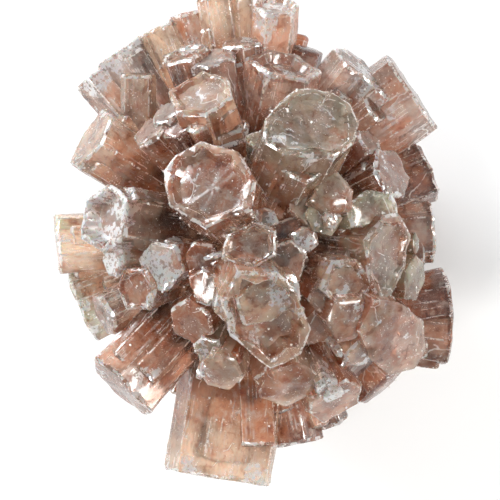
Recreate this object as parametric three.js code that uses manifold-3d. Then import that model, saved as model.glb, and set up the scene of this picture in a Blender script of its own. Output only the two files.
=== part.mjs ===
// An aragonite cluster: pseudo-hexagonal prisms that grew outwards from one heart, fused into one solid.
// Millimetres, +Z up. The origin is the middle of the flat crystal end that the cluster rests on.
// The heart, where the prisms meet, is straight above it, and places of crystals are measured from the heart.
import * as THREE from "three";
import { mergeVertices } from "three/addons/utils/BufferGeometryUtils.js";
import Module from "manifold-3d";

const wasm = await Module();
wasm.setup();

// Driving dimensions
const HEART_HEIGHT = 21.5; // the heart above the resting surface
const ROOT_SHARE = 0.12; // a root lies this share of the way from the heart to the crystal's end
const ROOT_WIDTH = 0.85; // a crystal's width at its root, as a share of its width at the end
const CHAMFER = 0.35; // the worn edge round a crystal's end
const CORNER_DRIFT = 0.1; // how far a corner strays from the regular hexagon, as a share of the half width
const CORNER_TURN = 9; // how far it strays about the axis, in degrees
const SIDES = 6;
const RIM = 0.84; // the inner edge of a hollow end's rim, as a share of the half width
const HOLLOW_FLOOR = 0.7; // the floor of a hollow, as a share of the half width
const DOME = [[1, 0], [0.86, 0.65], [0.5, 1]]; // a rounded end, as shares of the half width and of its height
const FOOT_CLEARANCE = 0.4; // how far the crystals that carry nothing stay above the resting surface
const UPRIGHT = 0.02; // an axis that leans less than this counts as upright
const MERGE_DISTANCE = 1e-4;

// Crystals of the upper half, named by their place. end is the middle of the end face; across is the width
// level with the resting surface and depth the width square to it; twist turns the section about the axis.
// hollow is how deep the end is sunk and dome how high it is rounded. flanks are the shares of the width that
// the two narrow faces of a slab take, and taper is the width at the root as a share of that at the end.
// The largest ends have an outline instead: its corners, counter-clockwise, as places across and in depth.
const UPPER = {
  // large ends that face up
  olive_plate: {
    end: [6.9, 14.3, 20.9],
    root: [0.7, 0.7, 3.3],
    outline: [
      [4.7, -1.2], [5.6, 2.5], [4.6, 5.8], [1.7, 6.3], [-4.1, 3.6],
      [-5.6, -0.1], [-5.2, -3.4], [-3.2, -5.8], [-0.2, -6.3], [3.6, -4.5],
    ],
    hollow: 0.4,
  },
  scalloped_cup: {
    end: [-5.5, 6.9, 22.9],
    root: [0.1, 0.4, 3.1],
    outline: [
      [0.5, -6], [3.2, -5.6], [5.4, -1.4], [3.7, 3.9], [-1.7, 6], [-4.6, 3.5], [-5.3, -1], [-2.7, -5.3],
    ],
    hollow: 1.1,
  },
  hollow_crown: {
    end: [1.2, -8.9, 23.4],
    root: [-3.4, 0.8, 1.4],
    outline: [
      [-3.9, 4.6], [-4.8, -0.4], [-2.1, -7], [2.1, -6.7], [4.4, -4.4], [4.8, 1.5], [3.6, 4.6], [-0.6, 7],
    ],
    hollow: 2.2,
  },
  crown_plate: { end: [1.4, -6.8, 23], root: [-2.6, 0.8, 4], across: 8.6, depth: 6.4, twist: 24 },
  grey_green_wall: {
    end: [16, -1.8, 14.8],
    root: [1.3, -0.4, 2.5],
    outline: [
      [1.9, 4.4], [-2.3, 3.4], [-5.6, 0.5], [-4.8, -1.7], [-1, -4.3], [3, -4.3], [5.6, -1.7], [5.1, 1.4],
    ],
    hollow: 0.3,
  },
  round_brown: {
    end: [17.4, -11.8, 12.4],
    root: [5.5, -3.4, 0.9],
    outline: [
      [-2.1, 6.6], [-4, 1.7], [-4, -4.1], [-1.8, -7.4], [1.3, -7], [3.6, -3.4], [3.9, 2.9], [2.3, 7.3],
    ],
    dome: 0.8,
  },
  middle_block: {
    end: [-0.6, -0.4, 24.3], root: [0.2, -3, 2],
    across: 7.6, depth: 5.6, twist: 14, hollow: 0.4,
  },
  bright_left_end: { end: [-18.4, 3, 14.5], across: 8.6, depth: 9.6, twist: 10, hollow: 1.6 },
  ridge_left: { end: [-20.2, 12.8, 8.5], across: 8.2, depth: 9, twist: 30 },
  faceted_beige: { end: [-6.5, 18.2, 15.5], across: 8, depth: 9, twist: 22, hollow: 0.5 },
  right_shoulder: { end: [16.9, 8.4, 10.5], across: 7.4, depth: 8.4, twist: 12 },
  rough_top: { end: [3.6, 21.8, 10.5], root: [-1, 2, 1], across: 9.8, depth: 8.4, twist: 6, hollow: 1.2 },

  // long prisms that lie along the outline
  bottom_slab: { end: [-4.8, -29.3, 1.5], across: 13.6, depth: 8.4, flanks: [0.05, 0.13], taper: 1 },
  bottom_step: {
    end: [0.4, -25.4, 3.4], root: [-0.5, -4, 0.5],
    across: 5.2, depth: 6.4, flanks: [0.1, 0.1], taper: 1,
  },
  striated_left: { end: [-16.8, -17.9, 7], across: 9.8, depth: 9, twist: 38 },
  wide_right: {
    end: [19.6, 18.9, 2.4], root: [2, 7, 0.4],
    across: 11.4, depth: 9, flanks: [0.1, 0.22], taper: 1,
  },
  wide_right_step: { end: [16, 19.2, 5.6], root: [3, 9, 1], across: 4.2, depth: 5, twist: 10 },
  wide_right_foot: { end: [15, 16.6, 7.6], root: [3, 8, 1], across: 4, depth: 4.6, twist: 24 },
  glint_right: { end: [12.7, 22.1, 6], root: [0.4, 7, 0], across: 7.2, depth: 7.8, twist: 20 },
  fan_left: { end: [-20.4, 21, 0.5], root: [-4, 2, 0], across: 5.2, depth: 7, twist: 10 },
  fan_middle: { end: [-16.9, 24.1, 1.2], root: [-3, 3, 0], across: 7.2, depth: 7.6, twist: 24 },
  fan_right: { end: [-12.3, 26.8, 0.4], root: [-2, 4, 0], across: 7.2, depth: 8, twist: 4 },
  pale_slab: {
    end: [-14.3, 20.8, 8], root: [-14.6, 8, 6],
    across: 4.6, depth: 3.4, flanks: [0.12, 0.2], taper: 1,
  },
  left_outer: { end: [-24.7, -0.2, 1.5], root: [-4, 1.5, 0], across: 7.8, depth: 9, twist: 16 },
  left_outer_green: { end: [-21.7, -8, -1.5], root: [-3, 0, 0], across: 9.6, depth: 8.6, twist: 6 },
  top_pale: { end: [-5, 30.8, 2.4], across: 4.8, depth: 6, twist: 12 },
  top_yellow: { end: [-2.3, 30.9, 0.6], across: 4, depth: 5.6, twist: 28 },
  top_block: { end: [2.4, 29.6, 5.4], root: [1, 8, -4], across: 6, depth: 8.8, twist: 8, hollow: 0.8 },
  top_left_pink: { end: [-8.7, 28.6, 0.4], root: [-2, 4, 0], across: 5.2, depth: 6.6, twist: 18 },
  top_pebble: { end: [5.7, 26, 1.2], root: [1, 6, 0], across: 2.4, depth: 2.4, dome: 0.7 },
  dark_right_upper: { end: [21.9, 8.8, -2.6], across: 8, depth: 8, twist: 16 },
  dark_right_lower: { end: [22.2, 1.4, -1.6], across: 8.2, depth: 8, twist: 4 },
  red_right_upper: { end: [24.4, -6.8, -4], root: [6, -10, -3], across: 8, depth: 8.4, twist: 10 },
  red_right_lower: {
    end: [24.7, -12.4, -3.4], root: [6, -10, -2],
    across: 6.8, depth: 7.4, twist: 26, dome: 0.5,
  },
  red_bottom: { end: [5.4, -25, 0.4], root: [1, -4, 0], across: 7.2, depth: 8, twist: 12 },
  pink_bottom: { end: [7.7, -23.2, 0.8], root: [1, -4, 0], across: 4, depth: 5.4, twist: 30, dome: 0.4 },
  brown_bottom: { end: [9.6, -22.8, -1.4], root: [2, -4, 0], across: 5, depth: 6.4, twist: 5 },
  red_wedge: { end: [16, -18, 3], root: [3, -4, 0], across: 7.6, depth: 7.4, twist: 20, dome: 0.5 },
  brown_leaf: { end: [-18.7, -9, 6.4], root: [-3, -1, 0], across: 6, depth: 6.6, twist: 14 },

  // smaller ends between the large ones
  brown_plate: { end: [-8.5, 23.4, 8.4], across: 6, depth: 6.4, twist: 40, hollow: 0.3 },
  speckled_top: { end: [-5.1, 22.8, 10], across: 6.4, depth: 6.4, twist: 18 },
  orange_sliver: { end: [-2, 22.6, 8.6], across: 4, depth: 4.4, twist: 10 },
  dark_square: { end: [-1.6, 24.7, 8.4], across: 5, depth: 5.4, twist: 34 },
  dark_bead: { end: [6.6, 24.2, 4], across: 4.2, depth: 4.4, twist: 10, dome: 0.4 },
  left_box: { end: [-12.9, 13.8, 13.6], across: 5, depth: 5, twist: 26 },
  red_box: { end: [-9.6, 14.4, 15], across: 4.6, depth: 4.8, twist: 8 },
  pink_tablet: { end: [-6.9, 14.3, 17.2], across: 2.9, depth: 2.1, flanks: [0.2, 0.2] },
  grey_box: { end: [-11, 15.8, 13.8], across: 4.2, depth: 4.4, twist: 18 },
  dark_hollow: { end: [-3.6, 13.8, 14], across: 6, depth: 6, twist: 16, hollow: 0.5 },
  mint_chip: { end: [0.2, 12.6, 17], across: 3, depth: 3, twist: 22 },
  sparkling_face: { end: [-11.5, -2.8, 17.4], root: [-4, -1, 2], across: 6.4, depth: 6.4, twist: 6 },
  pale_stub: { end: [-17.4, -2.2, 14], across: 4.8, depth: 4.8, twist: 20, dome: 0.4 },
  orange_block: {
    end: [-14.6, -5.6, 15.4], root: [-4, -2, 1],
    across: 6, depth: 6.4, twist: 12, hollow: 0.4,
  },
  grey_stub: { end: [-5.9, -5.4, 19.4], across: 4.8, depth: 4.8, twist: 28 },
  dark_stub: { end: [-6.7, -2.2, 18], across: 5, depth: 5, twist: 10 },
  pale_blade: { end: [-5, -1.6, 20], across: 0.9, depth: 3.4 },
  speckled_grey: { end: [-7.9, -9.8, 17], across: 6, depth: 6, twist: 14 },
  beige_hexagon: { end: [-4.1, -15.8, 16.4], across: 6, depth: 6.2, twist: 6, dome: 0.5 },
  orange_bead: { end: [-2.6, -14.3, 17.4], across: 2.3, depth: 2, dome: 0.5 },
  green_stub: { end: [-5.6, -13.2, 16.4], across: 4.4, depth: 4.4, twist: 20 },
  white_blade: { end: [-6.6, -15.8, 15.8], across: 1.2, depth: 3.6 },
  brown_neighbour: { end: [3.6, -2.4, 20.4], root: [0, 1, 2], across: 5.8, depth: 6, twist: 24 },
  maroon_side: { end: [4.6, 0.4, 17.4], root: [0, 2, 1], across: 6.2, depth: 6, twist: 12 },
  green_dome: { end: [9.6, 6.2, 18.6], across: 6.2, depth: 6.6, twist: 10, dome: 0.9 },
  deep_green: { end: [6.4, 4.9, 18], across: 5.4, depth: 5.6, twist: 22, dome: 0.4 },
  green_lump: { end: [8.4, 3.4, 18.2], across: 5.2, depth: 4.8, twist: 5, dome: 0.5 },
  green_shelf: { end: [14.4, 4.1, 15], root: [5, 1.6, 2], across: 4.8, depth: 7.6, flanks: [0.2, 0.2] },
  rosette_low: { end: [11.4, -9.3, 17.4], root: [3, -2, 1], across: 6.4, depth: 6.6, twist: 16, dome: 0.7 },
  rosette_high: { end: [11.2, -5, 17.6], root: [3, -1, 1], across: 6.8, depth: 7, twist: 4, hollow: 0.6 },
  rosette_left: { end: [8.8, -6, 17.2], root: [2, -1, 1], across: 5.2, depth: 5.2, twist: 26 },
  dark_shelf: { end: [15.4, -8.6, 10.4], across: 6, depth: 6.4, twist: 12 },
  green_tablet: { end: [19.9, -0.1, 8.6], root: [8, -0.5, 3], across: 3, depth: 2, dome: 0.3 },
  green_right: { end: [20, -4.3, 8.4], root: [6, -2, 2], across: 5.8, depth: 6.2, twist: 18, dome: 0.5 },
  banded_chip: { end: [14, 12.6, 10.4], across: 4.2, depth: 4.4, twist: 8 },
  beige_lobe: { end: [4.4, -17.8, 14.6], root: [0, -3, 1], across: 8.2, depth: 7.6, twist: 8, dome: 0.9 },
  corner_block: { end: [10, -19.4, 10.4], root: [2, -4, 1], across: 7.4, depth: 7.4, flanks: [0.18, 0.12] },
  mint_stub: { end: [8.8, -17.8, 13.6], across: 3.4, depth: 3.8, twist: 12 },
  mint_stub_low: { end: [9.7, -18.7, 13], across: 2.8, depth: 3.2, twist: 34 },
  red_stub: { end: [11.9, -15.8, 9.4], across: 6.4, depth: 6.4, twist: 24 },
  tan_wedge: { end: [13.2, -13.4, 12.6], across: 5.2, depth: 5.2, twist: 14 },
  cream_bead: { end: [10.5, -13.5, 13.8], across: 1.7, depth: 1.8, dome: 0.4 },
  mauve_side: { end: [8.2, -10.4, 14], across: 5.8, depth: 6, twist: 20 },
  blue_grey_chip: { end: [6.1, 0.5, 18.6], across: 3.4, depth: 3.6, twist: 10 },
  grey_shard: { end: [1.2, 3.1, 20], across: 3.6, depth: 2.4 },
  salmon_tablet: { end: [9.3, 2.7, 19.4], across: 2.2, depth: 1.5 },
  orange_chip: { end: [-2.3, 2.8, 21.4], across: 3, depth: 3, twist: 26 },
};

// Crystals that the cluster stands on. Each is so long that its lowest corner touches the surface.
const FEET = {
  resting_end: { towards: [0, 0, -1], root: [0, 0, -2], across: 8.6, depth: 7.6 },
  foot_front: { towards: [2.5, -14, -16], across: 8, depth: 7, twist: 12 },
  foot_left: { towards: [-13, 6.5, -16], across: 7.4, depth: 7.4, twist: 24 },
  foot_right: { towards: [12.5, 8, -16], across: 8, depth: 6.8, twist: 8 },
};

// The underside, which is filled by a rule: crystals spread evenly by the golden angle.
const UNDERSIDE = {
  count: 36,
  reach: [18.5, 22.5, 22.5],
  shortest: 0.78,
  longest: 0.98,
  shallowest: 0.12,
  steepest: 0.93,
  narrowest: 6,
  widest: 10,
  flattest: 0.8,
  fullest: 1.05,
  hollowShare: 0.4,
  hollow: 0.9,
};

// A repeatable number from 0 to 1 for each seed and turn.
function chance(seed, turn) {
  const s = Math.sin(seed * 12.9898 + turn * 78.233) * 43758.5453;
  return s - Math.floor(s);
}

// The corners of a crystal's section, counter-clockwise, filling its width across and its depth.
function sectionCorners({ across, depth, twist = 0, flanks, outline }, seed) {
  if (outline) return outline;
  let corners;
  if (flanks) {
    const [left, right] = flanks;
    corners = [
      [1, 0],
      [1 - 2 * left, 1],
      [-1 + 2 * right, 1],
      [-1, 0],
      [-1 + 2 * right, -1],
      [1 - 2 * left, -1],
    ];
  } else {
    corners = Array.from({ length: SIDES }, (_, k) => {
      const turn = CORNER_TURN * (2 * chance(seed, 20 + k) - 1);
      const angle = THREE.MathUtils.degToRad(twist + (k * 360) / SIDES + turn);
      const drift = 1 + CORNER_DRIFT * (2 * chance(seed, k) - 1);
      return [drift * Math.cos(angle), drift * Math.sin(angle)];
    });
  }
  const wide = Math.max(...corners.map(([u]) => Math.abs(u)));
  const deep = Math.max(...corners.map(([, v]) => Math.abs(v)));
  return corners.map(([u, v]) => [(u / wide) * (across / 2), (v / deep) * (depth / 2)]);
}

// The chamfer as a share of the half width.
function chamferShare(corners) {
  return CHAMFER / Math.min(...corners.map(([u, v]) => Math.hypot(u, v)));
}

// The outline from root to end of one crystal, as shares of the half width against length.
function profileOf({ hollow = 0, dome = 0, taper = ROOT_WIDTH }, corners, length) {
  const edge = chamferShare(corners);
  const points = [
    [0, 0],
    [taper, 0],
  ];
  if (dome) {
    points.push(...DOME.map(([share, rise]) => [share, length - dome * (1 - rise)]), [0, length]);
  } else if (hollow) {
    points.push([1, length - CHAMFER], [1 - edge, length], [RIM, length]);
    points.push([HOLLOW_FLOOR, length - hollow], [0, length - hollow]);
  } else {
    points.push([1, length - CHAMFER], [1 - edge, length], [0, length]);
  }
  return points.map(([share, height]) => new THREE.Vector2(share, height));
}

// The crystal's own directions: across, depth and along the axis.
function directionsOf(root, end) {
  const along = end.clone().sub(root).normalize();
  const across = new THREE.Vector3(0, 0, 1).cross(along);
  if (across.length() < UPRIGHT) across.set(1, 0, 0);
  across.normalize();
  return { along, across, depth: along.clone().cross(across) };
}

// One crystal as a closed geometry with merged corners.
function crystalGeometry(crystal, seed) {
  const { root, end } = crystal;
  const { along, across, depth } = directionsOf(root, end);
  const corners = sectionCorners(crystal, seed);
  const profile = profileOf(crystal, corners, end.distanceTo(root));
  const lathe = new THREE.LatheGeometry(profile, corners.length);
  const position = lathe.getAttribute("position");
  for (let i = 0; i < position.count; i++) {
    const { x: share, y: height } = profile[i % profile.length];
    const [u, v] = corners[Math.floor(i / profile.length) % corners.length];
    const place = root
      .clone()
      .addScaledVector(along, height)
      .addScaledVector(across, share * u)
      .addScaledVector(depth, share * v);
    position.setXYZ(i, place.x, place.y, place.z);
  }
  lathe.deleteAttribute("normal");
  lathe.deleteAttribute("uv");
  return mergeVertices(lathe, MERGE_DISTANCE);
}

// How far below its end's middle a crystal's lowest corner lies.
function dropOf(crystal, seed, root, end) {
  const { along, across, depth } = directionsOf(root, end);
  const corners = sectionCorners(crystal, seed);
  const drop = Math.max(...corners.map(([u, v]) => -(u * across.z + v * depth.z)));
  return Math.max((1 - chamferShare(corners)) * drop, drop + along.z * CHAMFER);
}

// The end of a crystal that points down, a clearance above the surface and within a given length.
function endAbove(crystal, seed, root, direction, clearance, longest = Infinity) {
  const end = root.clone().add(direction);
  const drop = dropOf(crystal, seed, root, end);
  const fall = HEART_HEIGHT + root.z - drop - clearance;
  const length = Math.min(fall / -direction.z, longest);
  return root.clone().addScaledVector(direction, length);
}

const crystals = [];

for (const shape of Object.values(UPPER)) {
  const end = new THREE.Vector3(...shape.end);
  const root = shape.root ? new THREE.Vector3(...shape.root) : end.clone().multiplyScalar(ROOT_SHARE);
  crystals.push({ ...shape, root, end });
}

for (const shape of Object.values(FEET)) {
  const seed = crystals.length;
  const root = new THREE.Vector3(...(shape.root ?? [0, 0, 0]));
  const direction = new THREE.Vector3(...shape.towards).normalize();
  crystals.push({ ...shape, root, end: endAbove(shape, seed, root, direction, 0) });
}

const GOLDEN_ANGLE = Math.PI * (3 - Math.sqrt(5));
for (let i = 0; i < UNDERSIDE.count; i++) {
  const seed = crystals.length;
  const share = (i + 0.5) / UNDERSIDE.count;
  const down = UNDERSIDE.shallowest + share * (UNDERSIDE.steepest - UNDERSIDE.shallowest);
  const level = Math.sqrt(1 - down * down);
  const direction = new THREE.Vector3(
    level * Math.cos(i * GOLDEN_ANGLE),
    level * Math.sin(i * GOLDEN_ANGLE),
    -down,
  );
  const [x, y, z] = UNDERSIDE.reach;
  const reach = 1 / Math.hypot(direction.x / x, direction.y / y, direction.z / z);
  const between = (low, high, turn) => THREE.MathUtils.lerp(low, high, chance(seed, turn));
  const across = between(UNDERSIDE.narrowest, UNDERSIDE.widest, 10);
  const shape = {
    across,
    depth: across * between(UNDERSIDE.flattest, UNDERSIDE.fullest, 11),
    twist: between(0, 360 / SIDES, 12),
    hollow: chance(seed, 13) < UNDERSIDE.hollowShare ? UNDERSIDE.hollow : 0,
  };
  const root = direction.clone().multiplyScalar(ROOT_SHARE * reach);
  const longest = reach * between(UNDERSIDE.shortest, UNDERSIDE.longest, 14);
  crystals.push({ ...shape, root, end: endAbove(shape, seed, root, direction, FOOT_CLEARANCE, longest) });
}

// The crystals fused into one solid
function solidOf(geometry) {
  const corners = geometry.index.array;
  const kept = [];
  for (let i = 0; i < corners.length; i += 3) {
    const [a, b, c] = corners.slice(i, i + 3);
    if (a !== b && b !== c && c !== a) kept.push(a, b, c);
  }
  const mesh = new wasm.Mesh({
    numProp: 3,
    vertProperties: new Float32Array(geometry.getAttribute("position").array),
    triVerts: new Uint32Array(kept),
  });
  return new wasm.Manifold(mesh);
}

function geometryOf(solid) {
  const mesh = solid.getMesh();
  const geometry = new THREE.BufferGeometry();
  geometry.setAttribute("position", new THREE.BufferAttribute(mesh.vertProperties, 3));
  geometry.setIndex(new THREE.BufferAttribute(mesh.triVerts, 1));
  geometry.computeVertexNormals();
  return geometry;
}

const joined = crystals
  .map((crystal, seed) => solidOf(crystalGeometry(crystal, seed)))
  .reduce((all, one) => all.add(one));

// Pockets that the crystals shut in between them are filled: only the outer skin is kept.
const fused = joined
  .decompose()
  .reduce((largest, one) => (one.volume() > largest.volume() ? one : largest));

const aragonite = new THREE.MeshStandardMaterial({ color: 0xb08a78, roughness: 0.3, metalness: 0 });
const cluster = new THREE.Mesh(geometryOf(fused), aragonite);
cluster.name = "crystal_cluster";
cluster.position.z = HEART_HEIGHT;

const part = new THREE.Group();
part.add(cluster);
export default part;
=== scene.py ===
"""An aragonite cluster: translucent prisms that grew out of one heart and are fused into one crystal ball.

Each prism is meshed with its striations, ledges, hollow or rounded end and the smaller prisms that grew against
it. The prisms are then joined into one closed skin, which stands for the solid of the same form. Lengths are in
millimetres until a mesh is written, and places are measured from the heart of the cluster.
"""

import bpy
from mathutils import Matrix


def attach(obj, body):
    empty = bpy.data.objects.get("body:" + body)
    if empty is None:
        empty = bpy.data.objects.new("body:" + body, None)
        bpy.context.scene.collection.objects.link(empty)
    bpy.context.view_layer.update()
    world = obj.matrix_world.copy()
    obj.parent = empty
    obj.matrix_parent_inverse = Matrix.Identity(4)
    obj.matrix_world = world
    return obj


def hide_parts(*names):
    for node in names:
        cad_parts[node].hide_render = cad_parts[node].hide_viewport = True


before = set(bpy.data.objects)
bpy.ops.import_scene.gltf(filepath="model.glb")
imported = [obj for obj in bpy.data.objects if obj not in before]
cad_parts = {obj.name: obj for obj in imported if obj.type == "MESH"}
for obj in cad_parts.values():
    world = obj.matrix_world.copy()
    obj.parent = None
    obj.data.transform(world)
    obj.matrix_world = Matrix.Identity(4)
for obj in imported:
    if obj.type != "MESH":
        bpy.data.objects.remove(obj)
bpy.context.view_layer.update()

import logging
import math
from dataclasses import dataclass, field
from enum import Enum

import bmesh
import bpy
import numpy as np
from mathutils import Vector

log = logging.getLogger("aragonite")

MM = 0.001
NODE = "crystal_cluster"
BODY = "root"
HEART_HEIGHT = 21.5

Pair = tuple[float, float]
Triple = tuple[float, float, float]


def chance(seed: float, turn: float) -> float:
    """Return a repeatable number from 0 to 1 for a seed and a turn."""
    s = math.sin(seed * 12.9898 + turn * 78.233) * 43758.5453
    return s - math.floor(s)


def between(low: float, high: float, seed: float, turn: float) -> float:
    """Return a repeatable number from low to high for a seed and a turn."""
    return low + (high - low) * chance(seed, turn)


@dataclass(frozen=True)
class Tint:
    """The colours of one kind of prism, from its root to its end, in linear light.

    Attributes:
        end: colour at the free end.
        body: colour along the sides.
        root: colour where the prism leaves its neighbours.
        frost_and_glare: how much of the surface is frosted white, partly a painted glare, from 0 to 1.
    """

    end: Triple
    body: Triple
    root: Triple
    frost_and_glare: float = 0.3


class Kind(Enum):
    """The kinds of crystal that the cluster shows."""

    PINK = Tint((0.68, 0.45, 0.32), (0.64, 0.36, 0.24), (0.45, 0.16, 0.08), 0.35)
    BEIGE = Tint((0.69, 0.51, 0.36), (0.74, 0.52, 0.36), (0.58, 0.26, 0.125), 0.4)
    LILAC = Tint((0.56, 0.42, 0.35), (0.51, 0.34, 0.27), (0.40, 0.18, 0.115), 0.45)
    BROWN = Tint((0.54, 0.34, 0.24), (0.42, 0.20, 0.12), (0.26, 0.076, 0.04), 0.25)
    MAROON = Tint((0.29, 0.12, 0.08), (0.26, 0.10, 0.063), (0.145, 0.038, 0.02), 0.2)
    OLIVE = Tint((0.50, 0.43, 0.32), (0.48, 0.37, 0.255), (0.43, 0.175, 0.088), 0.3)
    MINT = Tint((0.58, 0.58, 0.41), (0.48, 0.46, 0.32), (0.38, 0.27, 0.16), 0.4)
    ICE = Tint((0.71, 0.68, 0.60), (0.61, 0.51, 0.41), (0.47, 0.24, 0.135), 0.9)
    RUST = Tint((0.56, 0.21, 0.095), (0.53, 0.18, 0.075), (0.32, 0.072, 0.027), 0.2)
    PEACH = Tint((0.80, 0.60, 0.43), (0.82, 0.58, 0.41), (0.66, 0.32, 0.165), 0.45)


@dataclass
class Crystal:
    """One prism, with its places and sizes in millimetres.

    Attributes:
        name: what the prism is called here, after its place or look.
        kind: which kind of crystal it is.
        end: the middle of its end face.
        root: where it starts, or None for a share of the way to its end.
        across: its width level with the resting surface.
        depth: its width square to that.
        twist: how far its section is turned about the axis, in degrees.
        flanks: the shares of the width that a slab's two narrow faces take.
        outline: the corners of the section, where it is none of the regular ones.
        hollow: how deep the end is sunk.
        dome: how high the end is rounded.
        taper: the width at the root as a share of that at the end.
        frost_and_glare: how frosted, partly as painted glare, it is near its end, from 0 to 1, or None for as much as
            its kind.
        rust: how much iron stains it, from 0 to 1.
        seed: the number that its small irregularities come from.
    """

    name: str
    kind: Kind
    end: Triple
    across: float = 0.0
    depth: float = 0.0
    root: Triple | None = None
    twist: float = 0.0
    flanks: Pair | None = None
    outline: list[Pair] | None = None
    hollow: float = 0.0
    dome: float = 0.0
    taper: float = 0.85
    frost_and_glare: float | None = None
    rust: float = 0.3
    seed: int = 0


ROOT_SHARE = 0.12
CORNER_DRIFT = 0.1
CORNER_TURN = 9
SIDES = 6
CHAMFER = 0.35
RIM = 0.84
HOLLOW_FLOOR = 0.7
UPRIGHT = 0.02

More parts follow.
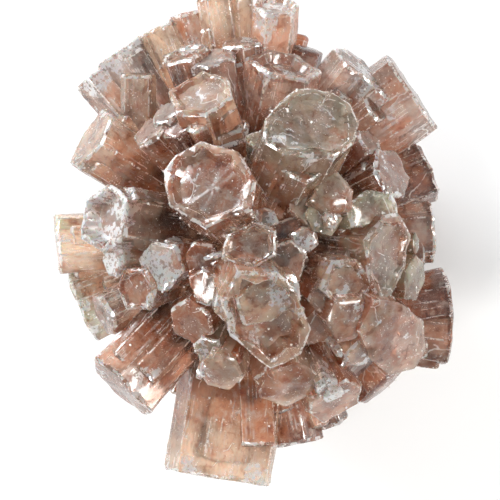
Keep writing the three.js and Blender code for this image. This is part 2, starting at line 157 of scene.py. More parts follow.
UPPER = [
    Crystal("olive_plate", Kind.OLIVE, (6.9, 14.3, 20.9), root=(0.7, 0.7, 3.3), hollow=0.4,
            outline=[(4.7, -1.2), (5.6, 2.5), (4.6, 5.8), (1.7, 6.3), (-4.1, 3.6),
                     (-5.6, -0.1), (-5.2, -3.4), (-3.2, -5.8), (-0.2, -6.3), (3.6, -4.5)], frost_and_glare=0.35, rust=0.35),
    Crystal("scalloped_cup", Kind.BROWN, (-5.5, 6.9, 22.9), root=(0.1, 0.4, 3.1), hollow=1.1,
            outline=[(0.5, -6), (3.2, -5.6), (5.4, -1.4), (3.7, 3.9), (-1.7, 6), (-4.6, 3.5),
                     (-5.3, -1), (-2.7, -5.3)], frost_and_glare=0.25, rust=0.45),
    Crystal("hollow_crown", Kind.BEIGE, (1.2, -8.9, 23.4), root=(-3.4, 0.8, 1.4), hollow=2.2,
            outline=[(-3.9, 4.6), (-4.8, -0.4), (-2.1, -7), (2.1, -6.7), (4.4, -4.4), (4.8, 1.5),
                     (3.6, 4.6), (-0.6, 7)], frost_and_glare=0.5, rust=0.4),
    Crystal("crown_plate", Kind.PEACH, (1.4, -6.8, 23), 8.6, 6.4, (-2.6, 0.8, 4), 24),
    Crystal("grey_green_wall", Kind.OLIVE, (16, -1.8, 14.8), root=(1.3, -0.4, 2.5), hollow=0.3,
            outline=[(1.9, 4.4), (-2.3, 3.4), (-5.6, 0.5), (-4.8, -1.7), (-1, -4.3), (3, -4.3),
                     (5.6, -1.7), (5.1, 1.4)], rust=0.35),
    Crystal("round_brown", Kind.PINK, (17.4, -11.8, 12.4), root=(5.5, -3.4, 0.9), dome=0.8,
            outline=[(-2.1, 6.6), (-4, 1.7), (-4, -4.1), (-1.8, -7.4), (1.3, -7), (3.6, -3.4),
                     (3.9, 2.9), (2.3, 7.3)], frost_and_glare=0.15, rust=0.5),
    Crystal("middle_block", Kind.BROWN, (-0.6, -0.4, 24.3), 7.6, 5.6, (0.2, -3, 2), 14, hollow=0.4),
    Crystal("bright_left_end", Kind.ICE, (-18.4, 3, 14.5), 8.6, 9.6, twist=10, hollow=1.6, frost_and_glare=1, rust=0.3),
    Crystal("ridge_left", Kind.PEACH, (-20.2, 12.8, 8.5), 8.2, 9, twist=30, frost_and_glare=0.35, rust=0.5),
    Crystal("faceted_beige", Kind.PEACH, (-6.5, 18.2, 15.5), 8, 9, twist=22, hollow=0.5, frost_and_glare=0.25, rust=0.5),
    Crystal("right_shoulder", Kind.BROWN, (16.9, 8.4, 10.5), 7.4, 8.4, twist=12, frost_and_glare=0.55, rust=0.5),
    Crystal("rough_top", Kind.LILAC, (3.6, 21.8, 10.5), 9.8, 8.4, (-1, 2, 1), 6, hollow=1.2, frost_and_glare=0.5, rust=0.35),
    Crystal("bottom_slab", Kind.PEACH, (-4.8, -29.3, 1.5), 13.6, 8.4,
            flanks=(0.05, 0.13), taper=1, frost_and_glare=0.55, rust=0.42),
    Crystal("bottom_step", Kind.PINK, (0.4, -25.4, 3.4), 5.2, 6.4, (-0.5, -4, 0.5),
            flanks=(0.1, 0.1), taper=1, frost_and_glare=0.2, rust=0.8),
    Crystal("striated_left", Kind.PINK, (-16.8, -17.9, 7), 9.8, 9, twist=38, frost_and_glare=0.55, rust=0.4),
    Crystal("wide_right", Kind.LILAC, (19.6, 18.9, 2.4), 11.4, 9, (2, 7, 0.4),
            flanks=(0.1, 0.22), taper=1, frost_and_glare=0.3, rust=0.4),
    Crystal("wide_right_step", Kind.LILAC, (16, 19.2, 5.6), 4.2, 5, (3, 9, 1), 10),
    Crystal("wide_right_foot", Kind.BROWN, (15, 16.6, 7.6), 4, 4.6, (3, 8, 1), 24),
    Crystal("glint_right", Kind.LILAC, (12.7, 22.1, 6), 7.2, 7.8, (0.4, 7, 0), 20, frost_and_glare=0.75, rust=0.35),
    Crystal("fan_left", Kind.PINK, (-20.4, 21, 0.5), 5.2, 7, (-4, 2, 0), 10, frost_and_glare=0.95, rust=0.2),
    Crystal("fan_middle", Kind.LILAC, (-16.9, 24.1, 1.2), 7.2, 7.6, (-3, 3, 0), 24, frost_and_glare=0.8, rust=0.2),
    Crystal("fan_right", Kind.BEIGE, (-12.3, 26.8, 0.4), 7.2, 8, (-2, 4, 0), 4),
    Crystal("pale_slab", Kind.PEACH, (-14.3, 20.8, 8), 4.6, 3.4, (-14.6, 8, 6),
            flanks=(0.12, 0.2), taper=1, frost_and_glare=0.2, rust=0.15),
    Crystal("left_outer", Kind.PEACH, (-24.7, -0.2, 1.5), 7.8, 9, (-4, 1.5, 0), 16, frost_and_glare=0.3, rust=0.2),
    Crystal("left_outer_green", Kind.MINT, (-21.7, -8, -1.5), 9.6, 8.6, (-3, 0, 0), 6, frost_and_glare=0.6, rust=0.15),
    Crystal("top_pale", Kind.PEACH, (-5, 30.8, 2.4), 4.8, 6, twist=12, frost_and_glare=0.4, rust=0.6),
    Crystal("top_yellow", Kind.BEIGE, (-2.3, 30.9, 0.6), 4, 5.6, twist=28),
    Crystal("top_block", Kind.PINK, (2.4, 29.6, 5.4), 6, 8.8, (1, 8, -4), 8, hollow=0.8, frost_and_glare=0.75, rust=0.15),
    Crystal("top_left_pink", Kind.PINK, (-8.7, 28.6, 0.4), 5.2, 6.6, (-2, 4, 0), 18, rust=0.7),
    Crystal("top_pebble", Kind.RUST, (5.7, 26, 1.2), 2.4, 2.4, (1, 6, 0), dome=0.7),
    Crystal("dark_right_upper", Kind.MAROON, (21.9, 8.8, -2.6), 8, 8, twist=16),
    Crystal("dark_right_lower", Kind.LILAC, (22.2, 1.4, -1.6), 8.2, 8, twist=4, frost_and_glare=0.45),
    Crystal("red_right_upper", Kind.MAROON, (24.4, -6.8, -4), 8, 8.4, (6, -10, -3), 10),
    Crystal("red_right_lower", Kind.BROWN, (24.7, -12.4, -3.4), 6.8, 7.4, (6, -10, -2), 26, dome=0.5),
    Crystal("red_bottom", Kind.MAROON, (5.4, -25, 0.4), 7.2, 8, (1, -4, 0), 12, rust=0.7),
    Crystal("pink_bottom", Kind.PINK, (7.7, -23.2, 0.8), 4, 5.4, (1, -4, 0), 30, dome=0.4),
    Crystal("brown_bottom", Kind.BROWN, (9.6, -22.8, -1.4), 5, 6.4, (2, -4, 0), 5),
    Crystal("red_wedge", Kind.MAROON, (16, -18, 3), 7.6, 7.4, (3, -4, 0), 20, dome=0.5, rust=0.7),
    Crystal("brown_leaf", Kind.LILAC, (-18.7, -9, 6.4), 6, 6.6, (-3, -1, 0), 14),
    Crystal("brown_plate", Kind.BROWN, (-8.5, 23.4, 8.4), 6, 6.4, twist=40, hollow=0.3),
    Crystal("speckled_top", Kind.LILAC, (-5.1, 22.8, 10), 6.4, 6.4, twist=18),
    Crystal("orange_sliver", Kind.RUST, (-2, 22.6, 8.6), 4, 4.4, twist=10),
    Crystal("dark_square", Kind.BROWN, (-1.6, 24.7, 8.4), 5, 5.4, twist=34),
    Crystal("dark_bead", Kind.MAROON, (6.6, 24.2, 4), 4.2, 4.4, twist=10, dome=0.4),
    Crystal("left_box", Kind.BROWN, (-12.9, 13.8, 13.6), 5, 5, twist=26),
    Crystal("red_box", Kind.MAROON, (-9.6, 14.4, 15), 4.6, 4.8, twist=8),
    Crystal("pink_tablet", Kind.PINK, (-6.9, 14.3, 17.2), 2.9, 2.1, flanks=(0.2, 0.2)),
    Crystal("grey_box", Kind.LILAC, (-11, 15.8, 13.8), 4.2, 4.4, twist=18),
    Crystal("dark_hollow", Kind.MAROON, (-3.6, 13.8, 14), 6, 6, twist=16, hollow=0.5),
    Crystal("mint_chip", Kind.MINT, (0.2, 12.6, 17), 3, 3, twist=22),
    Crystal("sparkling_face", Kind.ICE, (-11.5, -2.8, 17.4), 6.4, 6.4, (-4, -1, 2), 6, frost_and_glare=0.8),
    Crystal("pale_stub", Kind.ICE, (-17.4, -2.2, 14), 4.8, 4.8, twist=20, dome=0.4, frost_and_glare=1),
    Crystal("orange_block", Kind.PEACH, (-14.6, -5.6, 15.4), 6, 6.4, (-4, -2, 1), 12, hollow=0.4, rust=0.7),
    Crystal("grey_stub", Kind.OLIVE, (-5.9, -5.4, 19.4), 4.8, 4.8, twist=28),
    Crystal("dark_stub", Kind.MAROON, (-6.7, -2.2, 18), 5, 5, twist=10),
    Crystal("pale_blade", Kind.ICE, (-5, -1.6, 20), 0.9, 3.4),
    Crystal("speckled_grey", Kind.BROWN, (-7.9, -9.8, 17), 6, 6, twist=14),
    Crystal("beige_hexagon", Kind.PEACH, (-4.1, -15.8, 16.4), 6, 6.2, twist=6, dome=0.5, frost_and_glare=0.15, rust=0.3),
    Crystal("orange_bead", Kind.RUST, (-2.6, -14.3, 17.4), 2.3, 2, dome=0.5),
    Crystal("green_stub", Kind.MINT, (-5.6, -13.2, 16.4), 4.4, 4.4, twist=20),
    Crystal("white_blade", Kind.ICE, (-6.6, -15.8, 15.8), 1.2, 3.6),
    Crystal("brown_neighbour", Kind.BROWN, (3.6, -2.4, 20.4), 5.8, 6, (0, 1, 2), 24),
    Crystal("maroon_side", Kind.MAROON, (4.6, 0.4, 17.4), 6.2, 6, (0, 2, 1), 12),
    Crystal("green_dome", Kind.OLIVE, (9.6, 6.2, 18.6), 6.2, 6.6, twist=10, dome=0.9),
    Crystal("deep_green", Kind.OLIVE, (6.4, 4.9, 18), 5.4, 5.6, twist=22, dome=0.4),
    Crystal("green_lump", Kind.MINT, (8.4, 3.4, 18.2), 5.2, 4.8, twist=5, dome=0.5),
    Crystal("green_shelf", Kind.MINT, (14.4, 4.1, 15), 4.8, 7.6, (5, 1.6, 2), flanks=(0.2, 0.2), frost_and_glare=0.4, rust=0.1),
    Crystal("rosette_low", Kind.PINK, (11.4, -9.3, 17.4), 6.4, 6.6, (3, -2, 1), 16, dome=0.7, frost_and_glare=0.5, rust=0.3),
    Crystal("rosette_high", Kind.PEACH, (11.2, -5, 17.6), 6.8, 7, (3, -1, 1), 4, hollow=0.6, frost_and_glare=0.6, rust=0.3),
    Crystal("rosette_left", Kind.PINK, (8.8, -6, 17.2), 5.2, 5.2, (2, -1, 1), 26),
    Crystal("dark_shelf", Kind.BROWN, (15.4, -8.6, 10.4), 6, 6.4, twist=12),
    Crystal("green_tablet", Kind.MINT, (19.9, -0.1, 8.6), 3, 2, (8, -0.5, 3), dome=0.3),
    Crystal("green_right", Kind.MINT, (20, -4.3, 8.4), 5.8, 6.2, (6, -2, 2), 18, dome=0.5),
    Crystal("banded_chip", Kind.LILAC, (14, 12.6, 10.4), 4.2, 4.4, twist=8),
    Crystal("beige_lobe", Kind.PEACH, (4.4, -17.8, 14.6), 8.2, 7.6, (0, -3, 1), 8, dome=0.9, frost_and_glare=0.15, rust=0.5),
    Crystal("corner_block", Kind.PINK, (10, -19.4, 10.4), 7.4, 7.4, (2, -4, 1),
            flanks=(0.18, 0.12), frost_and_glare=0.2, rust=0.6),
    Crystal("mint_stub", Kind.ICE, (8.8, -17.8, 13.6), 3.4, 3.8, twist=12),
    Crystal("mint_stub_low", Kind.ICE, (9.7, -18.7, 13), 2.8, 3.2, twist=34),
    Crystal("red_stub", Kind.MAROON, (11.9, -15.8, 9.4), 6.4, 6.4, twist=24),
    Crystal("tan_wedge", Kind.PEACH, (13.2, -13.4, 12.6), 5.2, 5.2, twist=14),
    Crystal("cream_bead", Kind.ICE, (10.5, -13.5, 13.8), 1.7, 1.8, dome=0.4),
    Crystal("mauve_side", Kind.BROWN, (8.2, -10.4, 14), 5.8, 6, twist=20),
    Crystal("blue_grey_chip", Kind.ICE, (6.1, 0.5, 18.6), 3.4, 3.6, twist=10),
    Crystal("grey_shard", Kind.ICE, (1.2, 3.1, 20), 3.6, 2.4),
    Crystal("salmon_tablet", Kind.PEACH, (9.3, 2.7, 19.4), 2.2, 1.5),
    Crystal("orange_chip", Kind.PEACH, (-2.3, 2.8, 21.4), 3, 3, twist=26),
]


@dataclass(frozen=True)
class Foot:
    """A prism that the cluster stands on: its name, kind, direction, sizes, turn and root."""

    name: str
    kind: Kind
    towards: Triple
    across: float
    depth: float
    twist: float = 0.0
    root: Triple = (0.0, 0.0, 0.0)


FEET = [
    Foot("resting_end", Kind.PINK, (0, 0, -1), 8.6, 7.6, root=(0, 0, -2)),
    Foot("foot_front", Kind.BEIGE, (2.5, -14, -16), 8, 7, 12),
    Foot("foot_left", Kind.LILAC, (-13, 6.5, -16), 7.4, 7.4, 24),
    Foot("foot_right", Kind.PINK, (12.5, 8, -16), 8, 6.8, 8),
]


@dataclass(frozen=True)
class Underside:
    """The rule that spreads prisms evenly over the side that faces the resting surface."""

    count: int = 36
    reach: Triple = (18.5, 22.5, 22.5)
    shortest: float = 0.78
    longest: float = 0.98
    shallowest: float = 0.12
    steepest: float = 0.93
    narrowest: float = 6.0
    widest: float = 10.0
    flattest: float = 0.8
    fullest: float = 1.05
    hollow_share: float = 0.4
    hollow: float = 0.9
    clearance: float = 0.4
    kinds: tuple[Kind, ...] = (Kind.PINK, Kind.BEIGE, Kind.LILAC, Kind.BROWN, Kind.OLIVE, Kind.PINK, Kind.PEACH)


def axes_of(root: Vector, end: Vector) -> tuple[Vector, Vector, Vector]:
    """Return a prism's own directions.

    Args:
        root: where the prism starts.
        end: the middle of its end face.

    Returns:
        Its directions across, in depth and along the axis.
    """
    along = (end - root).normalized()
    across = Vector((0, 0, 1)).cross(along)
    if across.length < UPRIGHT:
        across = Vector((1, 0, 0))
    across.normalize()
    return across, along.cross(across), along


def section_corners(crystal: Crystal) -> np.ndarray:
    """Find the corners of a prism's section.

    Args:
        crystal: the prism.

    Returns:
        The corners, counter-clockwise, in millimetres across and in depth.
    """
    if crystal.outline:
        return np.array(crystal.outline, float)
    if crystal.flanks:
        near, far = 1 - 2 * crystal.flanks[0], 2 * crystal.flanks[1] - 1
        corners = np.array([(1, 0), (near, 1), (far, 1), (-1, 0), (far, -1), (near, -1)])
    else:
        uneven = [CORNER_TURN * (2 * chance(crystal.seed, 20 + k) - 1) for k in range(SIDES)]
        turn = [math.radians(crystal.twist + k * 360 / SIDES + uneven[k]) for k in range(SIDES)]
        drift = [1 + CORNER_DRIFT * (2 * chance(crystal.seed, k) - 1) for k in range(SIDES)]
        corners = np.array([(d * math.cos(a), d * math.sin(a)) for d, a in zip(drift, turn)])
    half = np.array((crystal.across, crystal.depth)) / 2
    return corners / np.abs(corners).max(axis=0) * half


def chamfer_share(corners: np.ndarray) -> float:
    """Return the chamfer as a share of the half width."""
    return CHAMFER / np.hypot(*corners.T).min()


def reach_down(crystal: Crystal, direction: Vector, clearance: float, longest: float = math.inf) -> Triple:
    """Find the end of a prism that points down and stops above the resting surface.

    Args:
        crystal: the prism, whose root and section are used.
        direction: the unit direction of its axis.
        clearance: how far it stays above the surface.
        longest: the most that it may measure.

    Returns:
        The middle of its end face.
    """
    root = Vector(crystal.root)
    across, depth, along = axes_of(root, root + direction)
    corners = section_corners(crystal)
    drop = max(-(u * across.z + v * depth.z) for u, v in corners)
    drop = max((1 - chamfer_share(corners)) * drop, drop + along.z * CHAMFER)
    length = min((HEART_HEIGHT + root.z - drop - clearance) / -direction.z, longest)
    return tuple(root + direction * length)


def all_crystals() -> list[Crystal]:
    """List the prisms of the cluster, but not their companions.

    Returns:
        Every prism with its seed, root and end.
    """
    crystals = []
    for crystal in UPPER:
        crystal.seed = len(crystals)
        crystal.root = crystal.root or tuple(ROOT_SHARE * c for c in crystal.end)
        crystals.append(crystal)
    for foot in FEET:
        direction = Vector(foot.towards).normalized()
        crystal = Crystal(foot.name, foot.kind, (0, 0, 0), foot.across, foot.depth, foot.root, foot.twist)
        crystal.seed = len(crystals)
        crystal.end = reach_down(crystal, direction, 0)
        crystals.append(crystal)
    rule = Underside()
    golden = math.pi * (3 - math.sqrt(5))
    for i in range(rule.count):
        seed = len(crystals)
        down = rule.shallowest + (i + 0.5) / rule.count * (rule.steepest - rule.shallowest)
        level = math.sqrt(1 - down * down)
        direction = Vector((level * math.cos(i * golden), level * math.sin(i * golden), -down))
        reach = 1 / math.hypot(*(d / r for d, r in zip(direction, rule.reach)))
        across = between(rule.narrowest, rule.widest, seed, 10)
        crystal = Crystal(f"under_{i}", rule.kinds[i % len(rule.kinds)], (0, 0, 0), across)
        crystal.depth = across * between(rule.flattest, rule.fullest, seed, 11)
        crystal.twist = between(0, 360 / SIDES, seed, 12)
        crystal.hollow = rule.hollow if chance(seed, 13) < rule.hollow_share else 0
        crystal.root = tuple(direction * (ROOT_SHARE * reach))
        crystal.seed = seed
        longest = reach * between(rule.shortest, rule.longest, seed, 14)
        crystal.end = reach_down(crystal, direction, rule.clearance, longest)
        crystals.append(crystal)
    return crystals


@dataclass
class PrismMesher:
    """Builds the fine closed mesh of one prism, ready for its growth relief.

    Attributes:
        column: the spacing of the columns of vertices round a prism.
        most_columns: about how many of them a prism has at most.
        row: their spacing along it, over its outer part.
        worn: how far a corner of the section is worn back.
        edge_band: the width of the pale line along an edge, a worn edge with a painted highlight.
        floor_step: the spacing of the rings on an end face.
        scallop: how deeply the edge of a hollow is scalloped, as a share of the half width.
        chip: how deeply the edge of an end is chipped.
        inward_from: the share of the half width from which the inward mark of an end face rises.
    """

    column: float = 0.46
    most_columns: int = 78
    row: float = 1.3
    worn: float = 0.14
    edge_band: float = 0.15
    floor_step: float = 0.7
    scallop: float = 0.12
    chip: float = 0.32
    inward_from: float = 0.85

    def section(self, corners: np.ndarray) -> tuple[np.ndarray, np.ndarray]:
        """Divide the outline of a section.

        Args:
            corners: its corners, counter-clockwise.

        Returns:
            The points, and for each how close it is to a corner, from 0 to 1.
        """
        points, edges = [], []
        column = max(self.column, np.hypot(*(np.roll(corners, -1, 0) - corners).T).sum() / self.most_columns)
        for here, after, before in zip(corners, np.roll(corners, -1, 0), np.roll(corners, 1, 0)):
            side = after - here
            length = np.hypot(*side)
            worn = min(self.worn, 0.2 * length)
            blunt = 0.3 * worn * ((after - here) / length + (before - here) / np.hypot(*(before - here)))
            points.append(here + blunt)
            edges.append(1.0)
            count = max(2, round((length - 2 * worn) / column))
            for k in range(count + 1):
                at = worn + (length - 2 * worn) * k / count
                points.append(here + side / length * at)
                edges.append(0.45 if k in (0, count) else 0.0)
        return np.array(points), np.array(edges)

    def profile(self, crystal: Crystal, length: float, corners: np.ndarray) -> np.ndarray:
        """List the rings of a prism from root to end.

        Args:
            crystal: the prism.
            length: from its root to its end.
            corners: the corners of its section.

        Returns:
            A row for each ring: its share of the half width, its height, how close it is to an edge of the
            end, how much of it belongs to the end face and how much it follows the scallops of a hollow.
        """
        width = np.hypot(*corners.T).min()
        share = chamfer_share(corners)
        taper = crystal.taper
        base = length - (crystal.dome or CHAMFER)
        inner = 0.45 * length
        count = max(3, round((base - inner) / self.row))
        heights = [0.0, 0.5 * inner, *np.linspace(inner, base, count + 1)[:-1], base - self.edge_band]
        rings = [(taper + (1 - taper) * h / base, h, 0, 0, 0) for h in heights]
        line = self.edge_band / width
        bevel = [(1, base, 0.7, 0, 0), (1 - 0.4 * share, length - 0.1, 1, 0.6, 0), (1 - share, length, 0.6, 1, 0)]

        def floor(first: float, height: float, ripple: float = 0.0) -> list[tuple]:
            """List the rings from a share of the half width to the middle."""
            steps = max(2, round(first * width / self.floor_step))
            return [(first * k / steps, height, 0, 1, ripple * (k / steps) ** 2) for k in range(steps, 0, -1)]

        if crystal.dome:
            rings.append((1, base, 0.6, 0, 0))
            for s, rise in ((0.96, 0.3), (0.86, 0.65), (0.7, 0.86)):
                rings.append((s, length - crystal.dome * (1 - rise), 0.1, 1, 0))
            rings += floor(0.5, length)
        elif crystal.hollow:
            rings += bevel + [(1 - share - line, length, 0, 1, 0.2), (RIM + line, length, 0, 1, 1)]
            rings += [(RIM, length - 0.05, 0.9, 1, 1), (RIM - line, length - 0.3 * crystal.hollow, 0, 1, 1)]
            rings += floor(HOLLOW_FLOOR, length - crystal.hollow, 1)
        else:
            rings += bevel + floor(1 - share - line, length)
        return np.array(rings, float)

    def mesh(self, crystal: Crystal) -> bpy.types.Mesh:
        """Build one prism.

        Args:
            crystal: the prism.

        Returns:
            A closed mesh in metres, at its place in the cluster, with the corner attributes that its relief
            and its material read.
        """
        root, end = Vector(crystal.root), Vector(crystal.end)
        directions = np.array([tuple(a) for a in axes_of(root, end)])
        corners = section_corners(crystal)
        length = (end - root).length
        outline, edges = self.section(corners)
        rings = self.profile(crystal, length, corners)
        count = len(outline)
        turn = np.linspace(0, 2 * math.pi, count, endpoint=False)
        lobes = 5 + int(6 * chance(crystal.seed, 23))
        wave = np.abs(np.sin(turn * lobes / 2 + 1.7 * np.sin(turn + crystal.seed)))
        shares = rings[:, None, 0] * (1 - self.scallop * rings[:, None, 4] * (1 - wave[None]))
        flat = (outline[None] * shares[..., None]).reshape(-1, 2)
        phases = [2 * math.pi * chance(crystal.seed, 24 + k) for k in range(3)]
        rough = sum(np.sin(waves * turn + phase) for waves, phase in zip((2, 5, 11), phases)) / 3
        worn = self.chip * np.clip((rough - 0.05) / 0.3, 0, 1) * (crystal.name != "resting_end")
        heights = (rings[:, None, 1] - rings[:, None, 2] ** 2 * worn[None]).ravel()
        centres = np.array([(0, 0, rings[0, 1]), (0, 0, rings[-1, 1])])
        local = np.vstack([np.column_stack([flat, heights]), centres])
        place = np.array(root) + local @ directions
        place[:, 2] += HEART_HEIGHT
        here = np.arange(count)
        after = (here + 1) % count
        step = np.arange(len(rings) - 1)[:, None] * count
        quads = np.stack([step + here, step + after, step + count + after, step + count + here], -1).reshape(-1, 4)
        low, high, last = len(flat), len(flat) + 1, (len(rings) - 1) * count
        faces = quads.tolist() + [(d, c, low) for c, d in zip(here, after)]
        faces += [(last + c, last + d, high) for c, d in zip(here, after)]
        mesh = bpy.data.meshes.new(crystal.name)
        mesh.from_pydata((place * MM).tolist(), [], faces)
        end_share = np.append(np.repeat(rings[:, 3], count), [0, 1])
        end_edge = np.append(np.repeat(rings[:, 2], count), [0, 0])
        side_edge = np.append(np.tile(edges, len(rings)), [0, 0]) * (end_share < 0.9)
        loops = np.zeros(len(mesh.loops), np.int32)
        mesh.loops.foreach_get("vertex_index", loops)
        shift = np.array([between(-40, 40, crystal.seed, 20), between(-40, 40, crystal.seed, 21), -length])
        self.write(mesh, "grain", "FLOAT_VECTOR", "vector", (local + shift)[loops])
        inward = np.clip(1 - rings[:, 0] / self.inward_from, 0, 1) * (rings[:, 3] >= 1)
        inward = np.append(np.repeat(inward, count), [0, 1])
        # The edge mark, which the material paints pale: partly a worn edge, partly a painted highlight.
        edge = np.maximum(side_edge, end_edge)
        marks = np.column_stack([edge, end_share + inward, np.full(len(local), crystal.rust)])
        self.write(mesh, "marks", "FLOAT_VECTOR", "vector", marks[loops])
        self.write(mesh, "tint", "FLOAT_COLOR", "color", self.tints(crystal, length - local[:, 2], end_share)[loops])
        return mesh

    @staticmethod
    def tints(crystal: Crystal, below: np.ndarray, on_end: np.ndarray) -> np.ndarray:
        """Return the colour and frost of each vertex of a prism.

        Args:
            crystal: the prism.
            below: how far each vertex lies below the end.
            on_end: how much of each vertex belongs to the end face.

        Returns:
            Red, green, blue and frost for each vertex.
        """
        tint = crystal.kind.value
        root = np.clip((below[:, None] - 2) / 9, 0, 1)
        colour = np.array(tint.body) * (1 - root) + np.array(tint.root) * root
        colour = colour * (1 - on_end[:, None]) + np.array(tint.end) * on_end[:, None]
        colour = colour * between(0.86, 1.1, crystal.seed, 22)
        frost_and_glare = tint.frost_and_glare if crystal.frost_and_glare is None else crystal.frost_and_glare
        return np.column_stack([colour, np.full(len(colour), frost_and_glare)])

    @staticmethod
    def write(mesh: bpy.types.Mesh, name: str, kind: str, slot: str, values: np.ndarray) -> None:
        """Store a corner attribute on a mesh.

        Args:
            mesh: the mesh.
            name: the attribute's name.
            kind: its Blender data type.
            slot: the property that holds its values.
            values: one row for each corner.
        """
        layer = mesh.attributes.new(name, kind, "CORNER")
        layer.data.foreach_set(slot, np.ascontiguousarray(values, np.float32).ravel())


class Graph:
    """A node tree with a short way to add and link nodes."""

    def __init__(self, tree: bpy.types.NodeTree) -> None:
        """Take the tree to build in."""
        self.tree = tree

    def add(self, kind: str, sockets: dict | None = None, **settings: object) -> bpy.types.Node:
        """Add a node.

        Args:
            kind: its Blender type.
            sockets: input name or number to a value, or to the output socket that feeds it.
            settings: the node's own properties.

        Returns:
            The node.
        """
        node = self.tree.nodes.new(kind)
        for name, value in settings.items():
            setattr(node, name, value)
        for name, value in (sockets or {}).items():
            socket = node.inputs[name]
            if isinstance(value, bpy.types.NodeSocket):
                self.tree.links.new(value, socket)
            else:
                socket.default_value = value
        return node

    def group(self, tree: bpy.types.NodeTree, sockets: dict) -> bpy.types.bpy_prop_collection:
        """Add a node group and feed its inputs.

        Args:
            tree: the group.
            sockets: input name to the output socket that feeds it.

        Returns:
            Its outputs.
        """
        node = self.add("ShaderNodeGroup", node_tree=tree)
        for name, value in sockets.items():
            self.tree.links.new(value, node.inputs[name])
        return node.outputs

    def math(self, operation: str, *values: object) -> bpy.types.NodeSocket:
        """Add a Math node and return its output."""
        return self.add("ShaderNodeMath", dict(enumerate(values)), operation=operation).outputs[0]

    def times(self, first: object, second: object) -> bpy.types.NodeSocket:
        """Return one number times another."""
        return self.math("MULTIPLY", first, second)

    def plus(self, first: object, second: object) -> bpy.types.NodeSocket:
        """Return one number plus another."""
        return self.math("ADD", first, second)

    def vector(self, operation: str, *values: object) -> bpy.types.NodeSocket:
        """Add a Vector Math node and return its vector."""
        return self.add("ShaderNodeVectorMath", dict(enumerate(values)), operation=operation).outputs[0]

    def scaled(self, vector: object, scale: object) -> bpy.types.NodeSocket:
        """Return a vector times a number."""
        return self.add("ShaderNodeVectorMath", {0: vector, "Scale": scale}, operation="SCALE").outputs[0]

    def noise(self, vector: object, scale: object, detail: float = 3.0,
              roughness: float = 0.5) -> bpy.types.NodeSocket:
        """Add a Noise Texture and return its value."""
        sockets = {"Vector": vector, "Scale": scale, "Detail": detail, "Roughness": roughness}
        return self.add("ShaderNodeTexNoise", sockets).outputs[0]

    def cells(self, vector: object, scale: float, feature: str = "F1") -> bpy.types.bpy_prop_collection:
        """Add a Voronoi Texture and return its outputs: the distance, then for F1 the colour of each cell."""
        return self.add("ShaderNodeTexVoronoi", {"Vector": vector, "Scale": scale}, feature=feature).outputs

    def span(self, value: object, low: float, high: float, to_low: float = 0.0, to_high: float = 1.0,
             shape: str = "SMOOTHSTEP") -> bpy.types.NodeSocket:
        """Map a value from one range to another, clamped, and return it."""
        sockets = {"Value": value, "From Min": low, "From Max": high, "To Min": to_low, "To Max": to_high}
        return self.add("ShaderNodeMapRange", sockets, interpolation_type=shape).outputs[0]

    def mix(self, factor: object, first: object, second: object, blend: str = "MIX") -> bpy.types.NodeSocket:
        """Mix two colours.

        Args:
            factor: how much of the second shows, from 0 to 1.
            first: the first colour.
            second: the second colour.
            blend: how they are mixed.

        Returns:
            The mixed colour.
        """
        node = self.add("ShaderNodeMix", data_type="RGBA", blend_type=blend)
        for name, value in zip((0, 6, 7), (factor, first, second)):
            if isinstance(value, bpy.types.NodeSocket):
                self.tree.links.new(value, node.inputs[name])
            else:
                node.inputs[name].default_value = value
        return node.outputs[2]

    def laid(self, mask: object, share: float, under: object, over: object) -> bpy.types.NodeSocket:
        """Lay a share of one colour over another where a mask says so, and return the result."""
        return self.mix(self.times(mask, share), under, over)


def new_sockets(tree: bpy.types.NodeTree, direction: str, sockets: dict[str, tuple[str, object]]) -> None:
    """Give a node group its inputs or outputs.

    Args:
        tree: the group.
        direction: INPUT or OUTPUT.
        sockets: name to socket type and default value, or None for no default.
    """
    for name, (kind, value) in sockets.items():
        socket = tree.interface.new_socket(name=name, in_out=direction, socket_type=kind)
        if value is not None:
            socket.default_value = value


